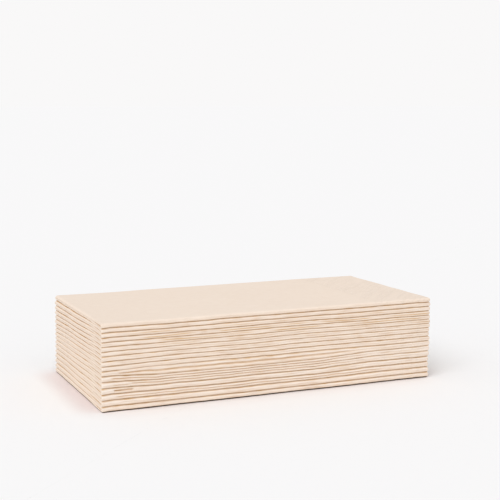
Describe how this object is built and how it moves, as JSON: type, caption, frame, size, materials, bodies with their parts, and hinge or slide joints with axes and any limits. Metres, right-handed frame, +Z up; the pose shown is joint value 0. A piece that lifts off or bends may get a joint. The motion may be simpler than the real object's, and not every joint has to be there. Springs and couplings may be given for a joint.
{
  "type": "stack of paper napkins",
  "caption": "Neat stack of folded tissue napkins, each one a square sheet folded three times, lying flat with the rounded last folds along the front.",
  "frame": {"origin": "under the middle of the stack, on the surface it stands on", "axes": "+X along the long side, towards the open ends; +Y towards the back, with the rounded last folds at -Y; +Z up"},
  "size_m": [0.201, 0.1027, 0.0478],
  "materials": {
    "tissue": "matt, soft, cream coloured tissue with a fine embossed border"
  },
  "bodies": {
    "root": {"napkin_01": "tissue", "napkin_02": "tissue", "napkin_03": "tissue", "napkin_04": "tissue", "napkin_05": "tissue", "napkin_06": "tissue", "napkin_07": "tissue", "napkin_08": "tissue", "napkin_09": "tissue", "napkin_10": "tissue", "napkin_11": "tissue", "napkin_12": "tissue", "napkin_13": "tissue", "napkin_14": "tissue", "napkin_15": "tissue", "napkin_16": "tissue", "napkin_17": "tissue"}
  },
  "joints": []
}
